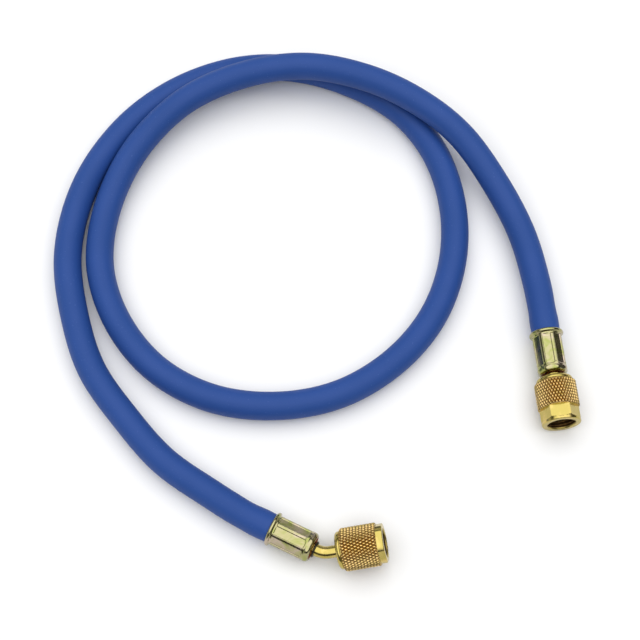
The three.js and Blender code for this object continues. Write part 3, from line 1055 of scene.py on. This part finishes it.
def thread_tree():
    """A thread's ridge: a round section that follows a spiral up the Z axis."""
    maker = NodeTree("Thread")
    given = maker.inputs(
        Radius="NodeSocketFloat",
        Pitch="NodeSocketFloat",
        Turns="NodeSocketFloat",
        Ridge="NodeSocketFloat",
        Finish="NodeSocketMaterial",
    )
    spiral = maker.node(
        "GeometryNodeCurveSpiral",
        None,
        {
            "Resolution": 48,
            "Rotations": given["Turns"],
            "Start Radius": given["Radius"],
            "End Radius": given["Radius"],
            "Height": maker.sum("MULTIPLY", given["Pitch"], given["Turns"]),
        },
    )
    section = maker.node(
        "GeometryNodeCurvePrimitiveCircle", None, {"Resolution": 8, "Radius": given["Ridge"]}
    )
    ridge = maker.node(
        "GeometryNodeCurveToMesh", None, {"Curve": spiral, "Profile Curve": section, "Fill Caps": True}
    )
    maker.finish(ridge, given["Finish"])
    return maker


def grown(maker, name, values):
    """The plain mesh that a tree makes with these input values, which are set before it is evaluated."""
    holder = bpy.data.objects.new(name, bpy.data.meshes.new(name))
    modifier = holder.modifiers.new("Shape", "NODES")
    modifier.node_group = maker.tree
    for key, value in values.items():
        modifier[maker.identifiers[key]] = value
    bpy.context.scene.collection.objects.link(holder)
    graph = bpy.context.evaluated_depsgraph_get()
    mesh = bpy.data.meshes.new_from_object(holder.evaluated_get(graph))
    holder.modifiers.remove(modifier)
    bpy.data.objects.remove(holder)
    if not mesh.polygons:
        raise RuntimeError(f"{name}: its nodes made no faces")
    mesh.name = name
    return mesh


# The nuts
def gasket_front():
    """How far the gasket's front face is from the nut's back face."""
    nut, stem = settings().nut, settings().stem
    return nut.back_wall + 0.0006 + stem.flange_thickness + stem.gasket_thickness


def knurl_mesh(maker, name, knurl_length, matrix):
    """The knurl's diamonds, cut off square at both ends and bevelled there."""
    nut = settings().nut
    start, end = nut.shoulder_length, nut.shoulder_length + knurl_length
    row_step = nut.diamond_length / 2
    rows = int(math.ceil(knurl_length / row_step)) + 1
    first = (start + end) / 2 - (rows - 1) * row_step / 2
    valley = nut.knurl_diameter / 2 - nut.knurl_depth
    half_width = math.pi * (nut.knurl_diameter / 2 - nut.knurl_depth / 2) / nut.knurl_count
    mesh = grown(
        maker,
        name,
        {
            "Count": nut.knurl_count,
            "Rows": rows,
            "Start": first,
            "Row_Step": row_step,
            "Radius": valley,
            "Depth": nut.knurl_depth,
            "Half_Width": half_width,
            "Top": nut.diamond_top,
            "Finish": material("knurled_brass"),
        },
    )
    work = bmesh.new()
    work.from_mesh(mesh)
    for place, facing in ((start, -1.0), (end, 1.0)):
        everything = [*work.verts, *work.edges, *work.faces]
        cut = bmesh.ops.bisect_plane(
            work,
            geom=everything,
            dist=1e-8,
            plane_co=(place, 0.0, 0.0),
            plane_no=(facing, 0.0, 0.0),
            clear_outer=True,
        )
        edges = [g for g in cut["geom_cut"] if isinstance(g, bmesh.types.BMEdge)]
        bmesh.ops.edgeloop_fill(work, edges=edges)
    for vertex in work.verts:
        room = min(vertex.co.x - start, end - vertex.co.x)
        most = nut.knurl_diameter / 2 - max(nut.knurl_edge - room, 0.0)
        radius = math.hypot(vertex.co.y, vertex.co.z)
        if radius > most:
            vertex.co.y *= most / radius
            vertex.co.z *= most / radius
    bmesh.ops.recalc_face_normals(work, faces=work.faces)
    work.to_mesh(mesh)
    work.free()
    mesh.transform(matrix)
    mesh.polygons.foreach_set("use_smooth", [False] * len(mesh.polygons))
    return mesh


def nut_profile(own, angles):
    """The nut's outside and inside: shoulder, knurl's drum, hexagon, rim, mouth, thread's root and room."""
    s = settings().nut
    shoulder, grip, tail = s.shoulder_diameter / 2, s.knurl_diameter / 2, own.tail_diameter / 2
    drum = grip - s.knurl_depth - 0.00001
    knurl_end = s.shoulder_length + own.knurl_length
    tail_end = knurl_end + own.tail_length
    end = tail_end + own.rim_length
    within = np.abs((angles - own.turned + math.pi / 6) % (math.pi / 3) - math.pi / 6)
    hexagon = np.minimum(own.across_flats / 2 / np.cos(within), tail)
    profile = [(0.0, s.hole_diameter / 2 + 0.0002), (0.0, shoulder - s.shoulder_round - 0.001)]
    profile += arc(s.shoulder_round, shoulder - s.shoulder_round, s.shoulder_round, 180, 90, 10)
    profile += [
        (s.shoulder_length - 0.0005, shoulder),
        (s.shoulder_length - 0.00035, shoulder - 0.0001),
        (s.shoulder_length - 0.00025, shoulder - 0.0003),
        (s.shoulder_length, shoulder - 0.0003),
        (s.shoulder_length, drum),
        (knurl_end, drum),
        (knurl_end, tail + 0.0001),
        (knurl_end, hexagon),
    ]
    if own.rim_length > 0.0:
        scallop = 0.00055 * (within / (math.pi / 6)) ** 2
        for along in np.linspace(knurl_end + 0.0001, tail_end + 0.0001, 34):
            share = smooth((tail_end - scallop - along) / 0.00022)
            profile.append((along, tail + (hexagon - tail) * share))
        edge = tail
    else:
        edge = hexagon
    for angle in np.radians(np.linspace(90, 0, 8)):
        along = end - s.rim_round * (1.0 - math.cos(angle))
        profile.append((along, edge - s.rim_round * (1.0 - math.sin(angle))))
    mouth, root = s.mouth_diameter / 2, s.thread_root / 2
    profile += [(end, mouth + 0.0002), (end - 0.0001, mouth + 0.00008)]
    inner_row = len(profile)
    room_end = gasket_front() + 0.0003
    room = s.room_diameter / 2
    profile += [
        (end - 0.0007, root - 0.0002),
        (end - 0.0009, root),
        (room_end, root),
        (room_end - 0.0001, room),
        (s.back_wall, room),
        (s.back_wall, s.hole_diameter / 2),
        (0.0002, s.hole_diameter / 2),
    ]
    return profile, inner_row, room_end, end


def add_nut(name, own, knurls, threads, matrix, body, node):
    """One nut in three pieces that turn together: shell, knurl and thread."""
    nut = settings().nut
    angles = even_angles(192) + own.turned
    profile, inner_row, thread_start, end = nut_profile(own, angles)
    rings = moved(round_points(profile, angles), matrix)
    # The inside rows carry the nut's painted shade
    inside = np.zeros(rings.shape[:2])
    inside[inner_row:] = 1.0
    shell = finish_mesh(ring_mesh(f"{name}_shell", rings, values={"inside": inside}), 35.0)
    add_piece(f"{name}_shell", shell, "bright_brass", body, [node])
    knurl = knurl_mesh(knurls, f"{name}_knurl", own.knurl_length, matrix)
    add_piece(f"{name}_knurl", knurl, "knurled_brass", body)
    reach = end - 0.0011 - (thread_start + 0.0004)
    thread = grown(
        threads,
        f"{name}_thread",
        {
            "Radius": nut.thread_root / 2,
            "Pitch": nut.thread_pitch,
            "Turns": reach / nut.thread_pitch,
            "Ridge": nut.thread_ridge,
            "Finish": material("stained_brass"),
        },
    )
    lying = Matrix.Translation((thread_start + 0.0004, 0.0, 0.0)) @ Matrix.Rotation(math.pi / 2, 4, "Y")
    thread.transform(matrix @ lying)
    thread.polygons.foreach_set("use_smooth", [True] * len(thread.polygons))
    add_piece(f"{name}_thread", thread, "stained_brass", body)


class CHARGINGHOSE_OT_nuts(bpy.types.Operator):
    """Builds the two knurled swivel nuts"""

    bl_idname = "charging_hose.nuts"
    bl_label = "Build Nuts"

    def execute(self, context):
        both = settings()
        knurls, threads = knurl_tree(), thread_tree()
        for name, own, matrix, body, node in (
            ("angled_swivel_nut", both.angled_nut, angled_nut_frame(), ANGLED_SWIVEL, "angled_nut"),
            ("straight_swivel_nut", both.straight_nut, straight_nut_frame(), STRAIGHT_SWIVEL, "straight_nut"),
        ):
            add_nut(name, own, knurls, threads, matrix, body, node)
        return {"FINISHED"}


# The gaskets and the core depressor
class CHARGINGHOSE_OT_seals(bpy.types.Operator):
    """Builds the two gaskets and the core depressor"""

    bl_idname = "charging_hose.seals"
    bl_label = "Build Seals"

    def execute(self, context):
        self.gasket("rubber_gasket_angled", angled_nut_frame(), "angled_gasket")
        self.gasket("rubber_gasket_straight", straight_nut_frame(), "straight_gasket")
        self.depressor()
        return {"FINISHED"}

    def gasket(self, name, matrix, node):
        stem = settings().stem
        front = gasket_front()
        back = front - stem.gasket_thickness
        outer, inner, edge = stem.gasket_diameter / 2, stem.neck_diameter / 2 + 0.0003, 0.0003
        profile = [(back, inner + edge)]
        profile += arc(back + edge, outer - edge, edge, 180, 90, 4)
        profile += arc(front - edge, outer - edge, edge, 90, 0, 4)
        profile += arc(front - edge, inner + edge, edge, 0, -90, 4)
        profile += arc(back + edge, inner + edge, edge, 270, 180, 4)[:-1]
        rings = moved(round_points(profile, even_angles(48)), matrix)
        mesh = finish_mesh(ring_mesh(name, rings), 50.0)
        add_piece(name, mesh, "black_rubber", ASSEMBLY, [node])

    def depressor(self):
        stem = settings().stem
        front = gasket_front()
        tip = front + stem.pin_reach
        nose = settings().nut.back_wall + 0.0003 + stem.flange_thickness + stem.nose_length
        seat, pin = nose - 0.0012, stem.pin_diameter / 2
        angles = even_angles(64)
        notch = 0.0018 - 0.0003 * smooth((np.cos(angles * 8.0) - 0.1) / 0.8)
        profile = [
            (seat, 0.0),
            (seat, notch - 0.0001),
            (seat + 0.0001, notch),
            (seat + 0.0011, notch),
            (seat + 0.0012, notch - 0.0001),
            (seat + 0.0012, pin + 0.0002),
            (seat + 0.0014, pin),
            (tip - 0.0003, pin),
            (tip - 0.0001, pin * 0.75),
            (tip, pin * 0.4),
            (tip, 0.0),
        ]
        rings = moved(round_points(profile, angles), angled_nut_frame())
        mesh = finish_mesh(ring_mesh("pin_depressor", rings), 40.0)
        add_piece("pin_depressor", mesh, "bright_brass", ASSEMBLY, ["core_depressor"])


# The stage
class CHARGINGHOSE_OT_stage(bpy.types.Operator):
    """Builds the camera, the floor and the soft lights"""

    bl_idname = "charging_hose.stage"
    bl_label = "Build Stage"

    def execute(self, context):
        self.camera()
        self.floor()
        self.lights()
        return {"FINISHED"}

    def camera(self):
        stage = settings().stage
        target = Vector((-0.039, 0.056, 0.0))
        back = Vector((0.0, -math.cos(stage.elevation), math.sin(stage.elevation)))
        data = bpy.data.cameras.new("photo_camera")
        data.lens = stage.focal_length
        data.sensor_width = 36.0
        data.clip_start = 0.01
        data.clip_end = 20.0
        camera = bpy.data.objects.new("photo_camera", data)
        camera.location = target + back * stage.distance
        camera.rotation_euler = (-back).to_track_quat("-Z", "Y").to_euler()
        bpy.context.scene.collection.objects.link(camera)
        bpy.context.scene.camera = camera

    def floor(self):
        mesh = bpy.data.meshes.new("floor")
        size, height = 6.0, -0.0002
        corners = [(x * size, y * size, height) for x, y in ((-1, -1), (1, -1), (1, 1), (-1, 1))]
        mesh.from_pydata(corners, [], [(0, 1, 2, 3)])
        mesh.materials.append(material("pale_floor"))
        floor = bpy.data.objects.new("floor", mesh)
        bpy.context.scene.collection.objects.link(floor)

    def lights(self):
        """A soft dome: bright overhead, with a weak low band that fades on the right and in front."""
        stage = settings().stage
        bpy.context.scene.view_settings.view_transform = "Standard"
        world = bpy.data.worlds.new("studio_dome")
        world.use_nodes = True
        dome = Shading(world.node_tree)
        way = dome.node("ShaderNodeTexCoord", output="Generated")
        right, back, height = (
            dome.node("ShaderNodeSeparateXYZ", None, {"Vector": way}, output=axis) for axis in "XYZ"
        )
        fading = dome.stepped(right - back, -0.5, 0.2)
        top = dome.stepped(height, 0.55, 0.75)
        band = dome.stepped(height, -0.05, 0.10) - dome.stepped(height, 0.30, 0.40)
        strength = top * stage.dome_top + band * (1.0 - fading * 0.9) * stage.dome_band + stage.dome_dark
        light = dome.node("ShaderNodeBackground", None, {"Color": (1.0, 1.0, 1.0), "Strength": strength})
        dome.node("ShaderNodeOutputWorld", None, {"Surface": light}, output=None)
        bpy.context.scene.world = world


class CHARGINGHOSE_PT_panel(bpy.types.Panel):
    """Lists the hose's pieces and their sizes"""

    bl_idname = "CHARGINGHOSE_PT_panel"
    bl_label = "Charging Hose"
    bl_space_type = "VIEW_3D"
    bl_region_type = "UI"
    bl_category = "Charging Hose"

    def draw(self, context):
        layout = self.layout
        groups = context.scene.charging_hose
        for name, operators in (
            ("stage", [CHARGINGHOSE_OT_stage]),
            ("hose", [CHARGINGHOSE_OT_hose]),
            ("ferrule", [CHARGINGHOSE_OT_ferrules]),
            ("stem", [CHARGINGHOSE_OT_stems, CHARGINGHOSE_OT_seals]),
            ("nut", [CHARGINGHOSE_OT_nuts]),
            ("angled_nut", []),
            ("straight_nut", []),
            ("finish", []),
        ):
            box = layout.box()
            box.label(text=name.replace("_", " ").capitalize())
            group = getattr(groups, name)
            for key in group.bl_rna.properties.keys():
                if key not in {"rna_type", "name"}:
                    box.prop(group, key)
            for operator in operators:
                box.operator(operator.bl_idname)


CLASSES = (
    HoseSizes,
    FerruleSizes,
    StemSizes,
    NutSizes,
    AngledNutSizes,
    StraightNutSizes,
    FinishColours,
    StageSettings,
    ChargingHoseSettings,
    CHARGINGHOSE_OT_stage,
    CHARGINGHOSE_OT_hose,
    CHARGINGHOSE_OT_ferrules,
    CHARGINGHOSE_OT_stems,
    CHARGINGHOSE_OT_nuts,
    CHARGINGHOSE_OT_seals,
    CHARGINGHOSE_PT_panel,
)


def register():
    for cls in CLASSES:
        bpy.utils.register_class(cls)
    bpy.types.Scene.charging_hose = PointerProperty(type=ChargingHoseSettings)


def unregister():
    del bpy.types.Scene.charging_hose
    for cls in reversed(CLASSES):
        bpy.utils.unregister_class(cls)


def main():
    register()
    bpy.ops.charging_hose.stage()
    bpy.ops.charging_hose.hose()
    bpy.ops.charging_hose.ferrules()
    bpy.ops.charging_hose.stems()
    bpy.ops.charging_hose.nuts()
    bpy.ops.charging_hose.seals()


if __name__ == "__main__":
    main()
